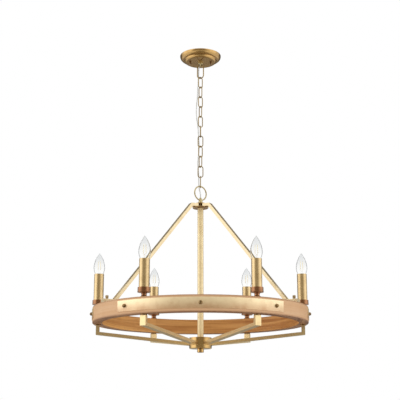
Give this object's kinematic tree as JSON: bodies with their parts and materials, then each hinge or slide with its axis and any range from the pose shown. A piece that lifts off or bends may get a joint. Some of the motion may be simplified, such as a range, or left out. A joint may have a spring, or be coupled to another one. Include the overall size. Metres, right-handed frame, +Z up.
{
  "type": "wagon wheel chandelier",
  "caption": "Round ring chandelier with a wooden rim, brass bands, candle lamps on its top edge, sloping bars, a centre stem and a chain to a ceiling canopy.",
  "frame": {"origin": "centre of the ceiling face, on the plane where the canopy's rim meets the ceiling", "axes": "+Z up, away from the room; the lamp hangs along -Z. The picture's front is -Y and its right is +X."},
  "size_m": [0.708, 0.7088, 1.026],
  "materials": {
    "zinc_steel": "bright zinc plate",
    "threaded_steel": "plain threaded steel",
    "ground_green": "gloss green",
    "brass": "satin antique brass plate",
    "dark_brass": "darker satin brass plate",
    "copper_brass": "copper toned brass",
    "wood": "matt stained wood",
    "orange_plastic": "matt",
    "wire_cover": "satin wire cover",
    "clear_cord": "clear grey cord cover",
    "socket_plastic": "matt ivory",
    "bulb_glass": "clear glass"
  },
  "bodies": {
    "ceiling_mount": {"ceiling_strap": "zinc_steel", "swivel_strap": "zinc_steel", "strap_nipple": "threaded_steel", "ground_screw": "ground_green", "canopy": "brass", "canopy_screws": "dark_brass", "canopy_loop": "brass", "wire_connectors": "orange_plastic", "lead_wires": "wire_cover", "supply_cord": "clear_cord"},
    "link_01": {"link_01": "brass"},
    "link_02": {"link_02": "brass"},
    "link_03": {"link_03": "brass"},
    "link_04": {"link_04": "brass"},
    "link_05": {"link_05": "brass"},
    "link_06": {"link_06": "brass"},
    "link_07": {"link_07": "brass"},
    "link_08": {"link_08": "brass"},
    "link_09": {"link_09": "brass"},
    "link_10": {"link_10": "brass"},
    "link_11": {"link_11": "brass"},
    "link_12": {"link_12": "brass"},
    "fixture": {"top_loop": "brass", "top_plate": "brass", "hub_disc": "brass", "stem": "brass", "centre_rod": "threaded_steel", "stem_lead": "clear_cord", "bar_1": "brass", "bar_2": "brass", "bar_3": "brass", "thumb_knobs": "dark_brass", "wood_ring": "wood", "band_1": "brass", "band_2": "brass", "band_3": "brass", "band_studs": "dark_brass", "candle_nipples": "threaded_steel", "candle_necks": "dark_brass", "candle_cups": "copper_brass", "candle_sleeves": "brass", "lamp_sockets": "socket_plastic", "ring_collars": "dark_brass", "arm_1": "brass", "arm_2": "brass", "arm_3": "brass", "arm_4": "brass", "arm_5": "brass", "arm_6": "brass", "lamp_wires": "wire_cover", "hub_top": "brass", "hub_cup": "brass", "finial": "brass"},
    "bulb_1": {"bulb_1": "bulb_glass"},
    "bulb_2": {"bulb_2": "bulb_glass"},
    "bulb_3": {"bulb_3": "bulb_glass"},
    "bulb_4": {"bulb_4": "bulb_glass"},
    "bulb_5": {"bulb_5": "bulb_glass"},
    "bulb_6": {"bulb_6": "bulb_glass"}
  },
  "joints": [
    {"name": "ceiling_swing", "type": "hinge", "parent": "ceiling_mount", "child": "link_01", "pos_m": [0, 0, -0.0377], "axis": [0, 1, 0], "range_deg": [-45, 45], "deforming": ["supply_cord"]},
    {"name": "chain_swing_01", "type": "hinge", "parent": "link_01", "child": "link_02", "pos_m": [0, 0, -0.0821], "axis": [0.9397, -0.342, 0], "range_deg": [-25, 25], "deforming": ["supply_cord"]},
    {"name": "chain_swing_02", "type": "hinge", "parent": "link_02", "child": "link_03", "pos_m": [0, 0, -0.1176], "axis": [-0.766, -0.6428, 0], "range_deg": [-25, 25], "deforming": ["supply_cord"]},
    {"name": "chain_swing_03", "type": "hinge", "parent": "link_03", "child": "link_04", "pos_m": [0, 0, -0.1534], "axis": [-0.5878, 0.809, 0], "range_deg": [-25, 25], "deforming": ["supply_cord"]},
    {"name": "chain_swing_04", "type": "hinge", "parent": "link_04", "child": "link_05", "pos_m": [0, 0, -0.1892], "axis": [0.7986, 0.6018, 0], "range_deg": [-25, 25], "deforming": ["supply_cord"]},
    {"name": "chain_swing_05", "type": "hinge", "parent": "link_05", "child": "link_06", "pos_m": [0, 0, -0.225], "axis": [0.5, -0.866, 0], "range_deg": [-25, 25], "deforming": ["supply_cord"]},
    {"name": "chain_swing_06", "type": "hinge", "parent": "link_06", "child": "link_07", "pos_m": [0, 0, -0.2608], "axis": [-0.809, -0.5878, 0], "range_deg": [-25, 25], "deforming": ["supply_cord"]},
    {"name": "chain_swing_07", "type": "hinge", "parent": "link_07", "child": "link_08", "pos_m": [0, 0, -0.2966], "axis": [-0.0523, -0.9986, 0], "range_deg": [-25, 25], "deforming": ["supply_cord"]},
    {"name": "chain_swing_08", "type": "hinge", "parent": "link_08", "child": "link_09", "pos_m": [0, 0, -0.3324], "axis": [0.9781, -0.2079, 0], "range_deg": [-25, 25], "deforming": ["supply_cord"]},
    {"name": "chain_swing_09", "type": "hinge", "parent": "link_09", "child": "link_10", "pos_m": [0, 0, -0.3682], "axis": [0.7431, 0.6691, 0], "range_deg": [-25, 25], "deforming": ["supply_cord"]},
    {"name": "chain_swing_10", "type": "hinge", "parent": "link_10", "child": "link_11", "pos_m": [0, 0, -0.404], "axis": [-0.5299, 0.848, 0], "range_deg": [-25, 25], "deforming": ["supply_cord"]},
    {"name": "chain_swing_11", "type": "hinge", "parent": "link_11", "child": "link_12", "pos_m": [0, 0, -0.4398], "axis": [-1, 0, 0], "range_deg": [-25, 25], "deforming": ["supply_cord"]},
    {"name": "fixture_swing", "type": "hinge", "parent": "link_12", "child": "fixture", "pos_m": [0, 0, -0.4756], "axis": [0, 1, 0], "range_deg": [-25, 25], "deforming": ["supply_cord"]},
    {"name": "bulb_1_lift", "type": "slide", "parent": "fixture", "child": "bulb_1", "axis": [0, 0, 1], "range_m": [0, 0.03]},
    {"name": "bulb_2_lift", "type": "slide", "parent": "fixture", "child": "bulb_2", "axis": [0, 0, 1], "range_m": [0, 0.03]},
    {"name": "bulb_3_lift", "type": "slide", "parent": "fixture", "child": "bulb_3", "axis": [0, 0, 1], "range_m": [0, 0.03]},
    {"name": "bulb_4_lift", "type": "slide", "parent": "fixture", "child": "bulb_4", "axis": [0, 0, 1], "range_m": [0, 0.03]},
    {"name": "bulb_5_lift", "type": "slide", "parent": "fixture", "child": "bulb_5", "axis": [0, 0, 1], "range_m": [0, 0.03]},
    {"name": "bulb_6_lift", "type": "slide", "parent": "fixture", "child": "bulb_6", "axis": [0, 0, 1], "range_m": [0, 0.03]}
  ]
}
